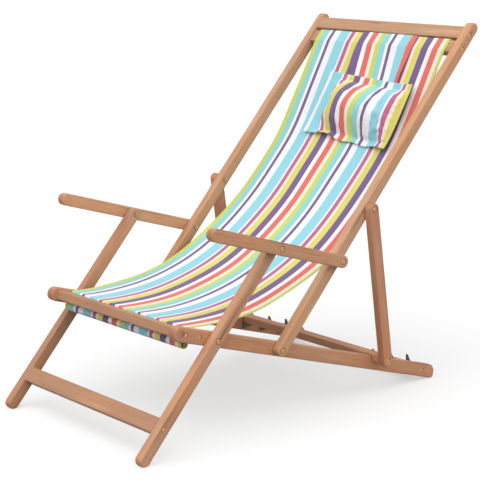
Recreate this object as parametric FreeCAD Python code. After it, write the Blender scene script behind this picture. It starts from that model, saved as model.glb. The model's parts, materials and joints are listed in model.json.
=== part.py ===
"""Folding beach chair: a wooden sling chair with armrests, a prop at the back and a head pillow.

Every board is drawn in the side view with the base rails level: Y runs along the rails to the
rear, Z is square to them, and the leg pivot is the origin. The whole chair is then tipped onto
its feet, so in the finished part Z is up, the front is at -Y and the sitter's left is at +X.
"""

import FreeCAD, Part
import math
import os

V = FreeCAD.Vector

# Boards: sections, and the spaces between the layers that the pivots hold apart.
overall_width = 600.0
board_thickness = 22.0
layer_gap = 1.5
rail_width = 34.0
stile_width = 28.0
leg_width = 28.0
prop_width = 28.0
arm_width = 30.0
board_edge = 2.5

# Base rails, measured along the rail from the leg pivot.
rail_front_reach = 108.0
rail_rear_reach = 752.0
rail_rear_top_radius = 20.0
rail_rear_foot_radius = 8.0
stile_pivot_offset = 198.0
rear_bar_inset = 46.0

# Back, measured along the stile from its lower pivot.
stile_angle = 65.1
arm_pivot_height = 251.0
prop_pivot_height = 400.0
head_slot_height = 897.0
stile_head_reach = 55.0

# Legs, armrests and prop.
leg_foot_reach = 321.0
leg_bar_reach = 228.0
arm_front_reach = 210.0
prop_length = 381.0
prop_angle = -65.3
prop_end_reach = 18.0
floor_flat = 0.8

# Crossbars and the slots between them that the sling passes through.
bar_width = 36.0
bar_thickness = 20.0
seat_bar_thickness = 22.0
bar_edge = 3.0
sling_slot = 5.0
seat_slot_offset = -54.5
top_bar_recess = 2.0
head_bar_recess = 6.0
leg_bar_width = 38.0
leg_bar_recess = 1.0
prop_bar_depth = 22.0
prop_bar_height = 20.0
prop_bar_clearance = 0.3
prop_bar_side_play = 1.5

# Steel hooks on the inner faces of the rails: as many positions of the back as fit before the rear bar.
hook_pitch = 63.0
hook_to_rear_bar = 50.0
hook_thickness = 3.5
hook_gap = 1.4
hook_lip_height = 5.0
hook_lip_width = 5.0
hook_mouth_flare = 1.0
hook_fin_height = 16.0
hook_fin_lean = 2.6
hook_fin_hollow = 2.8
hook_heel_reach = 16.0
hook_plate_depth = 13.0
hook_plate_inset = 4.0

# Bolts, cap nuts and washers of the pivots.
bolt_radius = 3.0
bolt_fit = 0.08
open_pivot_fit = 0.5
bolt_head_radius = 7.0
bolt_head_top = 4.2
bolt_head_rise = 2.6
nut_radius = 6.2
nut_rise = 4.0
nut_bore = 2.6
washer_radius = 9.0
washer_play = 0.1

# Fabric: the sling, its hems round loose dowels, the pillow and the panel that it hangs from.
sling_side_gap = 3.0
fabric = 1.5
fabric_clearance = 0.3
sling_sag = 163.0
sling_skew = 0.45
sling_spans = 9
slot_bend = 3.0
dowel_radius = 9.0
dowel_inset = 14.0
pillow_width = 300.0
pillow_length = 178.0
pillow_rise = 44.0
pillow_side_rise = 14.0
pillow_edge = 9.0
pillow_draw = 9.0
pillow_top_drop = 92.0
pillow_shift = 26.0
pillow_sections = 13
strap_width = 220.0
strap_shift = 7.0

# Layers, counted outwards from the middle of the chair.
arm_outer = overall_width / 2
arm_inner = arm_outer - board_thickness
stile_outer = arm_inner - layer_gap
stile_inner = stile_outer - board_thickness
rail_outer = stile_inner - layer_gap
rail_inner = rail_outer - board_thickness
sling_half = rail_inner - sling_side_gap


def side(y, z):
    """A point of the side view."""
    return V(0, y, z)


def direction(angle):
    """The unit vector at an angle in degrees, up from the rail's rearward direction."""
    return side(math.cos(math.radians(angle)), math.sin(math.radians(angle)))


def square_to(vector):
    """The vector turned a quarter turn upwards in the side view."""
    return side(-vector.z, vector.y)


# Pivots and axes in the side view.
rail_axis = direction(0)
stile_axis = direction(stile_angle)
prop_axis = direction(prop_angle)
leg_pivot = side(0, 0)
stile_pivot = leg_pivot + rail_axis * stile_pivot_offset
arm_leg_pivot = leg_pivot + stile_axis * arm_pivot_height
arm_stile_pivot = stile_pivot + stile_axis * arm_pivot_height
prop_pivot = stile_pivot + stile_axis * prop_pivot_height
prop_foot = prop_pivot + prop_axis * prop_length
rear_bar_centre = rail_axis * (rail_rear_reach - rear_bar_inset)
leg_bar_axis_point = leg_pivot - stile_axis * leg_bar_reach
stile_reach = head_slot_height + stile_head_reach
hook_room = (rear_bar_centre - prop_foot).dot(rail_axis) - hook_to_rear_bar
hook_count = 1 + int(hook_room / hook_pitch)

# Bars on either side of each sling slot, by the middle of the slot.
slot_to_bar = (sling_slot + bar_width) / 2
front_bar_centre = rail_axis * (seat_slot_offset - slot_to_bar)
seat_bar_centre = rail_axis * (seat_slot_offset + slot_to_bar)
stile_front = square_to(stile_axis)
top_bar_centre = (stile_pivot + stile_axis * (head_slot_height + slot_to_bar)
                  + stile_front * (stile_width / 2 - top_bar_recess - bar_thickness / 2))
head_bar_centre = (stile_pivot + stile_axis * (head_slot_height - slot_to_bar)
                   + stile_front * (stile_width / 2 - head_bar_recess - bar_thickness / 2))
leg_bar_centre = (leg_bar_axis_point
                  + stile_front * (leg_width / 2 - leg_bar_recess - bar_thickness / 2))


def polygon(points):
    """A flat face of the side view with straight sides."""
    return Part.Face(Part.makePolygon(points + points[:1]))


def slab(face, x_low, x_high):
    """A face of the side view drawn out from one x to another."""
    moved = face.copy()
    moved.translate(V(x_low, 0, 0))
    return moved.extrude(V(x_high - x_low, 0, 0))


def eased(solid):
    """The board with the edges of its two side faces bevelled."""
    edges = [edge for edge in solid.Edges if edge.BoundBox.XLength < board_edge / 2]
    return solid.makeChamfer(board_edge, edges)


def board_face(start, end, width):
    """A board's side view, with half-round ends about two centres."""
    along = (end - start).normalize()
    across = square_to(along) * (width / 2)
    tip = along * (width / 2)
    edges = [
        Part.LineSegment(start + across, end + across),
        Part.Arc(end + across, end + tip, end - across),
        Part.LineSegment(end - across, start - across),
        Part.Arc(start - across, start - tip, start + across),
    ]
    return Part.Face(Part.Wire([edge.toShape() for edge in edges]))


def corner_arc(centre, radius, start, end):
    """An arc about a centre, between two angles in degrees."""
    return Part.Arc(centre + direction(start) * radius,
                    centre + direction((start + end) / 2) * radius,
                    centre + direction(end) * radius)


def rail_face():
    """The base rail's side view: a half-round nose, and a rear end that is rounder on top."""
    half = rail_width / 2
    nose = side(half - rail_front_reach, 0)
    top = side(rail_rear_reach - rail_rear_top_radius, half - rail_rear_top_radius)
    foot = side(rail_rear_reach - rail_rear_foot_radius, rail_rear_foot_radius - half)
    arcs = [
        corner_arc(nose, half, 270, 90),
        corner_arc(top, rail_rear_top_radius, 90, 0),
        corner_arc(foot, rail_rear_foot_radius, 0, -90),
    ]
    edges = []
    for number, arc in enumerate(arcs):
        following = arcs[(number + 1) % len(arcs)]
        edges.append(arc.toShape())
        edges.append(Part.LineSegment(arc.EndPoint, following.StartPoint).toShape())
    return Part.Face(Part.Wire(edges))


def rod(centre, radius, x_low, x_high):
    """A round bar across the chair."""
    return Part.makeCylinder(radius, x_high - x_low, V(x_low, centre.y, centre.z), V(1, 0, 0))


def bored(solid, centres, radius):
    """The solid with holes right through it across the chair."""
    for centre in centres:
        solid = solid.cut(rod(centre, radius, -overall_width, overall_width))
    return solid


def mirrored(shape):
    """The same shape on the other side of the chair."""
    return shape.mirror(V(0, 0, 0), V(1, 0, 0))


def both_sides(shapes):
    """Pieces of the left side together with their mirror images."""
    return Part.makeCompound(shapes + [mirrored(shape) for shape in shapes])


def bolt(centre, x_head, x_nut):
    """A pivot bolt: a low head on the outer board and a shank that ends inside its cap nut."""
    head = Part.makeCone(bolt_head_radius, bolt_head_top, bolt_head_rise,
                         V(x_head, centre.y, centre.z), V(1, 0, 0))
    return head.fuse(rod(centre, bolt_radius, x_nut - nut_bore, x_head)).removeSplitter()


def cap_nut(centre, x_face):
    """The six-sided cap nut that closes a pivot bolt on the inner board."""
    corners = [centre + direction(60 * number) * nut_radius for number in range(6)]
    cap = slab(polygon(corners), x_face - nut_rise, x_face)
    return cap.cut(rod(centre, bolt_radius, x_face - nut_bore, x_face))


def washer(centre, x_low):
    """A washer in the space between two layers."""
    ring = rod(centre, washer_radius, x_low, x_low + layer_gap - washer_play)
    return ring.cut(rod(centre, bolt_radius + bolt_fit, x_low, x_low + layer_gap))


def crossbar(centre, along, width, thickness, x_half):
    """A flat bar between two boards, with rounded long edges."""
    across = square_to(along) * (thickness / 2)
    reach = along * (width / 2)
    face = polygon([centre - reach - across, centre + reach - across,
                    centre + reach + across, centre - reach + across])
    bar = slab(face, -x_half, x_half)
    long_edges = [edge for edge in bar.Edges if edge.BoundBox.XLength > x_half]
    return bar.makeFillet(bar_edge, long_edges)


# The chair stands on the round ends of its legs and the rear lower corners of its rails.
foot_centre = leg_pivot - stile_axis * (leg_foot_reach - leg_width / 2)
rear_foot_centre = side(rail_rear_reach - rail_rear_foot_radius, rail_rear_foot_radius - rail_width / 2)
stile_top_centre = stile_pivot + stile_axis * (stile_reach - stile_width / 2)


def stance():
    """The placement that tips the chair onto its feet, centred over the origin."""
    span = rear_foot_centre - foot_centre
    rise = math.asin((leg_width / 2 - rail_rear_foot_radius) / span.Length)
    pitch = math.atan2(span.z, span.y) + rise
    turn = FreeCAD.Rotation(V(1, 0, 0), -math.degrees(pitch))
    foot = turn.multVec(foot_centre)
    front = foot.y - leg_width / 2
    rear = turn.multVec(stile_top_centre).y + stile_width / 2
    shift = V(0, -(front + rear) / 2, leg_width / 2 - floor_flat - foot.z)
    return FreeCAD.Placement(shift, turn)


STANCE = stance()


def on_floor(shape):
    """The shape in the finished part's frame, with what lies below the floor cut flat."""
    placed = shape.copy()
    placed.Placement = STANCE
    reach = 2 * (rail_rear_reach + stile_reach)
    below = Part.makeBox(reach, reach, reach, V(-reach / 2, -reach / 2, -reach))
    if placed.BoundBox.ZMin < 0:
        placed = placed.cut(below)
    return placed


def base_rail():
    """The left base rail, with its pivots."""
    rail = eased(slab(rail_face(), rail_inner, rail_outer))
    return bored(rail, [leg_pivot, stile_pivot], bolt_radius + bolt_fit)


def stile():
    """The left stile of the back."""
    face = board_face(stile_pivot, stile_top_centre, stile_width)
    board = eased(slab(face, stile_inner, stile_outer))
    return bored(board, [stile_pivot, arm_stile_pivot, prop_pivot], bolt_radius + bolt_fit)


def leg():
    """The left leg, with the pivots of the rail and the armrest."""
    face = board_face(foot_centre, arm_leg_pivot, leg_width)
    board = eased(slab(face, stile_inner, stile_outer))
    return bored(board, [leg_pivot, arm_leg_pivot], bolt_radius + bolt_fit)


def armrest():
    """The left armrest. Its pivot on the leg closes the linkage, and has a looser hole."""
    front = arm_leg_pivot - rail_axis * (arm_front_reach - arm_width / 2)
    board = eased(slab(board_face(front, arm_stile_pivot, arm_width), arm_inner, arm_outer))
    board = bored(board, [arm_stile_pivot], bolt_radius + bolt_fit)
    return bored(board, [arm_leg_pivot], bolt_radius + open_pivot_fit)


def prop():
    """The left prop, from the stile down to its crossbar."""
    end = prop_foot + prop_axis * (prop_end_reach - prop_width / 2)
    board = eased(slab(board_face(prop_pivot, end, prop_width), arm_inner, arm_outer))
    return bored(board, [prop_pivot], bolt_radius + bolt_fit)


def prop_crossbar():
    """The prop's bar, notched to straddle the rails so that it rests on their top edges."""
    bar = crossbar(prop_foot, prop_axis, prop_bar_height, prop_bar_depth, arm_inner)
    top = rail_width / 2 + prop_bar_clearance
    notch = Part.makeBox(board_thickness + 2 * prop_bar_side_play, rail_rear_reach, rail_width,
                         V(rail_inner - prop_bar_side_play, 0, top - rail_width))
    return bar.cut(notch).cut(mirrored(notch))


def bar_corner(rearward, upward):
    """A point of the side view, by its offsets from the prop bar's middle along the bar's own sides."""
    return prop_foot - prop_axis * upward + square_to(prop_axis) * rearward


def hook_face():
    """A hook's side view: a lip, a seat under the prop bar, and a fin that stands behind it."""
    front = -prop_bar_depth / 2 - hook_gap
    rear = prop_bar_depth / 2 + hook_gap
    seat = -prop_bar_height / 2 - hook_gap
    tip = bar_corner(rear + hook_fin_lean, seat + hook_fin_height)
    heel = bar_corner(rear + hook_heel_reach, seat)
    outline = [
        heel,
        bar_corner(rear - hook_plate_inset, seat - hook_plate_depth),
        bar_corner(front + hook_plate_inset, seat - hook_plate_depth),
        bar_corner(front - hook_lip_width, seat),
        bar_corner(front - hook_mouth_flare, seat + hook_lip_height),
        bar_corner(front + hook_mouth_flare, seat),
        bar_corner(rear, seat),
        tip,
    ]
    fin_back = (tip + heel) / 2 - square_to((heel - tip).normalize()) * hook_fin_hollow
    edges = [Part.LineSegment(start, end).toShape() for start, end in zip(outline, outline[1:])]
    edges.append(Part.Arc(tip, fin_back, heel).toShape())
    return Part.Face(Part.Wire(edges))


def hooks():
    """The hooks of the left rail, from the one that holds the prop to the rearmost."""
    plate = slab(hook_face(), rail_inner - hook_thickness, rail_inner)
    return [plate.translated(rail_axis * (hook_pitch * step)) for step in range(hook_count)]


# The sling's middle line in the side view bends round an edge of each bar that it hangs from.
fabric_lift = fabric_clearance + fabric / 2
edge_bend = bar_edge + fabric_lift
seat_bend = side(seat_slot_offset + slot_bend, seat_bar_thickness / 2 + fabric_lift - slot_bend)
head_edge = (head_bar_centre - stile_axis * (bar_width / 2 - bar_edge)
             + stile_front * (bar_thickness / 2 - bar_edge))
sling_chord = head_edge - seat_bend
sling_depth_axis = square_to(sling_chord).normalize() * -1


def heading(vector):
    """The angle in degrees of a vector of the side view."""
    return math.degrees(math.atan2(vector.z, vector.y))


leave_slope = 4 * sling_sag * (1 + sling_skew / 2)
leave_angle = heading(sling_chord + sling_depth_axis * leave_slope)
sling_start = seat_bend + direction(leave_angle + 90) * slot_bend


def sling_point(share):
    """A point of the hanging cloth, by its share of the way from the seat bar to the head bar."""
    depth = sling_sag * 4 * share * (1 - share) * (1 - sling_skew * (share - 0.5))
    return sling_start + sling_chord * share + sling_depth_axis * depth


def arc_to_point(start, angle, end):
    """The centre, radius and turn of the arc that leaves a point at an angle and ends at another."""
    chord = end - start
    turn = 2 * (heading(chord) - angle)
    radius = chord.Length / (2 * math.sin(math.radians(turn / 2)))
    return start + direction(angle + 90) * radius, radius, turn


def arc_to_bend(start, angle, centre, bend):
    """The arc that leaves a point at an angle and runs smoothly into a bend the other way."""
    away = start - centre
    across = away.dot(direction(angle + 90))
    radius = (away.dot(away) - bend ** 2) / (2 * (bend - across))
    middle = start + direction(angle + 90) * radius
    return middle, radius, heading(centre - middle) + 90 - angle


def hanging_arcs():
    """The hanging line as smooth arcs, each as its centre, radius, first angle and turn."""
    points = [sling_point(number / sling_spans) for number in range(sling_spans)]
    angle = leave_angle
    arcs = []
    for start, end in zip(points, points[1:]):
        centre, radius, turn = arc_to_point(start, angle, end)
        arcs.append((centre, radius, angle, turn))
        angle += turn
    centre, radius, turn = arc_to_bend(points[-1], angle, head_edge, edge_bend)
    return arcs + [(centre, radius, angle, turn)]


sling_arcs = hanging_arcs()
sling_run = sum(radius * math.radians(turn) for centre, radius, angle, turn in sling_arcs)
arrive_angle = leave_angle + sum(turn for centre, radius, angle, turn in sling_arcs)


def cloth_stretches(first, last):
    """The parts of the arcs between two shares of the hanging line's run, by their end angles."""
    passed = 0
    stretches = []
    for centre, radius, angle, turn in sling_arcs:
        run = radius * math.radians(turn)
        begin = max(first * sling_run - passed, 0)
        stop = min(last * sling_run - passed, run)
        if begin <= stop:
            stretches.append((centre, radius, angle + turn * begin / run, angle + turn * stop / run))
        passed += run
    return stretches


def on_cloth(share, lift):
    """A point at a share of the hanging line's run, lifted off it towards the sitter."""
    centre, radius, begin, stop = cloth_stretches(0, share)[-1]
    return centre + direction(stop - 90) * (radius - lift)


def hanging_strips(first, last, lift):
    """The side view of one thickness of cloth along the hanging line, arc by arc."""
    return [bend_strip(centre, radius - lift, begin - 90, stop - 90)
            for centre, radius, begin, stop in cloth_stretches(first, last) if begin < stop]


def straight_strip(start, end):
    """The side view of one thickness of cloth along a straight line."""
    across = square_to((end - start).normalize()) * (fabric / 2)
    return polygon([start - across, end - across, end + across, start + across])


def bend_strip(centre, radius, start, end):
    """The side view of one thickness of cloth round a bend, between two angles in degrees."""
    inner = corner_arc(centre, radius - fabric / 2, start, end)
    outer = corner_arc(centre, radius + fabric / 2, start, end)
    edges = [inner.toShape(), Part.LineSegment(inner.EndPoint, outer.EndPoint).toShape(),
             outer.toShape(), Part.LineSegment(outer.StartPoint, inner.StartPoint).toShape()]
    return Part.Face(Part.Wire(Part.sortEdges(edges)[0]))


hem_radius = dowel_radius + fabric_clearance + fabric / 2
hem_reach = hem_radius + fabric / 2 + fabric_clearance


# The bends into the two slots, the hems past them, and the strap's layer over the sling's.
layer_step = fabric + fabric_clearance
seat_hem = side(seat_slot_offset, -seat_bar_thickness / 2 - hem_reach)
head_turn = stile_pivot + stile_axis * (head_slot_height - layer_step / 2)
head_face_lift = (head_bar_centre - head_turn).dot(stile_front) + bar_thickness / 2
head_back_lift = min(head_face_lift - bar_thickness,
                     (top_bar_centre - head_turn).dot(stile_front) - bar_thickness / 2)
head_bend = head_turn - stile_axis * slot_bend + stile_front * (head_face_lift + fabric_lift - slot_bend)
head_hem = head_turn + stile_front * (head_back_lift - hem_reach)


def hem(centre):
    """A hem's side view: a ring of cloth round its dowel."""
    outer = Part.Wire(Part.Circle(centre, V(1, 0, 0), hem_radius + fabric / 2).toShape())
    inner = Part.Wire(Part.Circle(centre, V(1, 0, 0), hem_radius - fabric / 2).toShape())
    return Part.Face([outer, inner])


def joined(faces, x_half):
    """One piece of cloth from the strips of its side view."""
    whole = slab(faces[0], -x_half, x_half)
    for face in faces[1:]:
        whole = whole.fuse(slab(face, -x_half, x_half))
    return whole.removeSplitter()


def over_head_bar(lift):
    """The side view of one layer of cloth round the head bar's lower edge and up into the slot."""
    radius = slot_bend + lift
    return [
        bend_strip(head_edge, edge_bend + lift, stile_angle + 90, arrive_angle + 90),
        straight_strip(head_edge + stile_front * (edge_bend + lift), head_bend + stile_front * radius),
        bend_strip(head_bend, radius, stile_angle, stile_angle + 90),
    ]


def sling():
    """The sling: its hanging part, the turns over the bars, and the hems beyond the slots."""
    faces = [
        bend_strip(seat_bend, slot_bend, leave_angle + 90, 180),
        straight_strip(seat_hem + side(0, hem_radius), seat_bend - rail_axis * slot_bend),
        hem(seat_hem),
        straight_strip(head_hem + stile_front * hem_radius, head_bend + stile_axis * slot_bend),
        hem(head_hem),
    ]
    return joined(faces + hanging_strips(0, 1, 0) + over_head_bar(0), sling_half)


def hem_dowel(centre):
    """The loose dowel that keeps a hem from slipping back through its slot."""
    return rod(centre, dowel_radius, dowel_inset - sling_half, sling_half - dowel_inset)


# The pillow lies on the sling below the head bar, and its panel runs up into the head slot.
pillow_high = 1 - pillow_top_drop / sling_run
pillow_low = pillow_high - pillow_length / sling_run
pillow_lift = fabric / 2 + fabric_clearance


def pillow_section(place):
    """The pillow's section at a share of its half width: its back on the sling, its crown in front."""
    fullness = math.sqrt(1 - place ** 4)
    rise = pillow_side_rise + (pillow_rise - pillow_side_rise) * fullness
    draw = pillow_draw * (1 - fullness) / sling_run
    low = pillow_low + draw
    high = pillow_high - draw
    back = [on_cloth(low + (high - low) * number / 4, pillow_lift) for number in range(5)]
    front = [on_cloth(share, pillow_lift + pillow_edge) for share in (low, high)]
    crown = on_cloth((low + high) / 2, pillow_lift + rise)
    edges = [
        Part.Arc(back[0], back[1], back[2]).toShape(),
        Part.Arc(back[2], back[3], back[4]).toShape(),
        Part.LineSegment(back[4], front[1]).toShape(),
        Part.Arc(front[1], crown, front[0]).toShape(),
        Part.LineSegment(front[0], back[0]).toShape(),
    ]
    wire = Part.Wire(edges)
    wire.translate(V(pillow_shift + place * pillow_width / 2, 0, 0))
    return wire


def pillow():
    """The pillow: full in the middle, with drawn-in sides where its sections lie closer together."""
    turns = [math.pi * number / (pillow_sections - 1) for number in range(pillow_sections)]
    return Part.makeLoft([pillow_section(-math.cos(turn)) for turn in turns], True, True)


def pillow_strap():
    """The panel that the pillow hangs from, up the sling and into the head slot over it."""
    slot_start = head_bend + stile_axis * (slot_bend + layer_step)
    slot_run = (slot_start - head_hem).dot(stile_front) - hem_reach
    faces = hanging_strips(pillow_high + fabric_clearance / sling_run, 1, layer_step)
    faces.append(straight_strip(slot_start, slot_start - stile_front * slot_run))
    strap = joined(faces + over_head_bar(layer_step), strap_width / 2)
    return strap.translated(V(strap_shift, 0, 0))


def fittings():
    """The bolts, nuts and washers of the pivots, by node."""
    return {
        "leg_pivot_bolts": both_sides([bolt(leg_pivot, stile_outer, rail_inner)]),
        "leg_pivot_nuts": both_sides([cap_nut(leg_pivot, rail_inner)]),
        "stile_pivot_bolts": both_sides([bolt(stile_pivot, stile_outer, rail_inner)]),
        "stile_pivot_nuts": both_sides([cap_nut(stile_pivot, rail_inner)]),
        "base_pivot_washers": both_sides([washer(leg_pivot, rail_outer), washer(stile_pivot, rail_outer)]),
        "prop_pivot_bolts": both_sides([bolt(prop_pivot, arm_outer, stile_inner)]),
        "prop_pivot_nuts": both_sides([cap_nut(prop_pivot, stile_inner)]),
        "arm_pivot_bolts": both_sides([bolt(arm_stile_pivot, arm_outer, stile_inner)]),
        "arm_pivot_nuts": both_sides([cap_nut(arm_stile_pivot, stile_inner)]),
        "back_pivot_washers": both_sides([washer(prop_pivot, stile_outer),
                                          washer(arm_stile_pivot, stile_outer)]),
        "arm_leg_bolts": both_sides([bolt(arm_leg_pivot, arm_outer, stile_inner)]),
        "arm_leg_nuts": both_sides([cap_nut(arm_leg_pivot, stile_inner)]),
        "arm_leg_washers": both_sides([washer(arm_leg_pivot, stile_outer)]),
    }


def frame_boards():
    """The boards of the left side with their mirror images, by node."""
    boards = {"base_rail": base_rail(), "back_stile": stile(), "leg": leg(),
              "armrest": armrest(), "prop": prop()}
    nodes = {}
    for name, board in boards.items():
        nodes[name + "_left"] = board
        nodes[name + "_right"] = mirrored(board)
    return nodes


def crossbars():
    """The bars between the boards, by node."""
    return {
        "front_crossbar": crossbar(front_bar_centre, rail_axis, bar_width, seat_bar_thickness, rail_inner),
        "seat_sling_bar": crossbar(seat_bar_centre, rail_axis, bar_width, seat_bar_thickness, rail_inner),
        "rear_crossbar": crossbar(rear_bar_centre, rail_axis, bar_width, seat_bar_thickness, rail_inner),
        "top_crossbar": crossbar(top_bar_centre, stile_axis, bar_width, bar_thickness, stile_inner),
        "head_sling_bar": crossbar(head_bar_centre, stile_axis, bar_width, bar_thickness, stile_inner),
        "leg_crossbar": crossbar(leg_bar_centre, stile_axis, leg_bar_width, bar_thickness, stile_inner),
        "prop_crossbar": prop_crossbar(),
    }


def hook_nodes():
    """The hooks of each rail, by node."""
    return {
        "adjusting_hooks_left": Part.makeCompound(hooks()),
        "adjusting_hooks_right": Part.makeCompound([mirrored(plate) for plate in hooks()]),
    }


def soft_nodes():
    """The cloth pieces and the dowels in their hems, by node."""
    return {
        "sling": sling(),
        "head_pillow": pillow(),
        "pillow_strap": pillow_strap(),
        "seat_hem_dowel": hem_dowel(seat_hem),
        "head_hem_dowel": hem_dowel(head_hem),
    }


def main():
    """Build every node, tip it onto its feet and write it out."""
    nodes = {**frame_boards(), **crossbars(), **hook_nodes(), **fittings(), **soft_nodes()}
    os.makedirs("parts", exist_ok=True)
    for name, shape in nodes.items():
        on_floor(shape).exportStep("parts/" + name + ".step")
    pivots = {"leg_pivot": leg_pivot, "stile_pivot": stile_pivot, "arm_leg_pivot": arm_leg_pivot,
              "arm_stile_pivot": arm_stile_pivot, "prop_pivot": prop_pivot, "prop_foot": prop_foot}
    for name, point in pivots.items():
        placed = STANCE.multVec(point)
        print(name, round(placed.y, 3), round(placed.z, 3))
    print("rail pitch", round(math.degrees(STANCE.Rotation.Angle), 3), "nodes", len(nodes))
    for centre, radius, angle, turn in sling_arcs:
        print("sling arc of radius", round(radius, 1), "turn", round(turn, 2))


main()
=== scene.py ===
"""Folding beach chair: the striped sling, head pillow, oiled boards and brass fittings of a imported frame.

A point of the side view is a complex number, with y as its real part and z as its imaginary part.
"""

import cmath
import json
import math

import bpy
from mathutils import Matrix, Vector


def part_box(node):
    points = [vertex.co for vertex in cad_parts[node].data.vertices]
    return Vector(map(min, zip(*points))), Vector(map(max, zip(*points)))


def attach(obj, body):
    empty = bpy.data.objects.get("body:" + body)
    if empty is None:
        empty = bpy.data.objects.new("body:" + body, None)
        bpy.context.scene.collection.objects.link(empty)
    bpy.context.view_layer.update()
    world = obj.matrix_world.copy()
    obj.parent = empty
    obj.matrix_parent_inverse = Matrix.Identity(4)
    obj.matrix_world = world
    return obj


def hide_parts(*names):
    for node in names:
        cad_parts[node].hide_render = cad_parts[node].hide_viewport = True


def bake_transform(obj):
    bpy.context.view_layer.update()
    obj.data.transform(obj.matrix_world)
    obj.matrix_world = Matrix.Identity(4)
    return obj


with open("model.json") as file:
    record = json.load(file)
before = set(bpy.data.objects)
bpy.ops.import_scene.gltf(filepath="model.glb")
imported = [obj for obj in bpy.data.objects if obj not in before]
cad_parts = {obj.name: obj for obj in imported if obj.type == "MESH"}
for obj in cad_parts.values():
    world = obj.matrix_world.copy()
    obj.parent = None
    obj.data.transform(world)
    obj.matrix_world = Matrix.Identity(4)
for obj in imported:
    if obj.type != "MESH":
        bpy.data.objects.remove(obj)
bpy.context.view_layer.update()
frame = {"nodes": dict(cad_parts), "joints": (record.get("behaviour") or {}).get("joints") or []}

bl_info = {
    "name": "Folding beach chair",
    "version": (1, 0, 0),
    "blender": (4, 5, 0),
    "location": "3D View > Sidebar > Beach chair",
    "description": "Dresses the frame of a folding beach chair in cloth, wood and metal",
    "category": "Object",
}

CLOTH_UV = "cloth"

# The woven repeat, from the far edge to the near one: each stripe's colour and width in metres.
STRIPES = [
    ("lime", 0.015), ("turquoise", 0.020), ("white", 0.010), ("plum", 0.010), ("white", 0.021),
    ("sky", 0.034), ("white", 0.006), ("magenta", 0.013), ("cream", 0.009), ("yellow", 0.020),
    ("plum", 0.022), ("white", 0.014), ("red", 0.019), ("cream", 0.013),
]
STRIPE_REPEAT = sum(width for colour, width in STRIPES)
RED_START = 0.1925

# How much of a half-round end is round, so that its two corners don't meet in one point.
ROUND_SHARE = 0.99

# How much of a head's height its rounded rim takes.
RIM_SHARE = 0.8

# Points nearer than the first are in the same place, and those nearer than the second are made one.
SAME_PLACE = 1e-5
WELD_GAP = 1e-6

# The direction across the chair, towards the sitter's left.
ACROSS = (1.0, 0.0, 0.0)


def srgb(red, green, blue):
    """A colour as it is seen on screen, from 0 to 255, as a scene's linear colour."""
    def linear(value):
        share = value / 255
        return share / 12.92 if share <= 0.04045 else ((share + 0.055) / 1.055) ** 2.4

    return linear(red), linear(green), linear(blue)


def length_prop(name, description, default):
    """A property that holds a length in metres."""
    return bpy.props.FloatProperty(name=name, description=description, default=default,
                                   unit="LENGTH", precision=5)


def colour_prop(name, description, default):
    """A property that holds a colour."""
    return bpy.props.FloatVectorProperty(name=name, description=description, default=default,
                                         subtype="COLOR", size=3, min=0.0, max=1.0)


def share_prop(name, description, default):
    """A property that holds a share or another plain number."""
    return bpy.props.FloatProperty(name=name, description=description, default=default)


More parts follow.
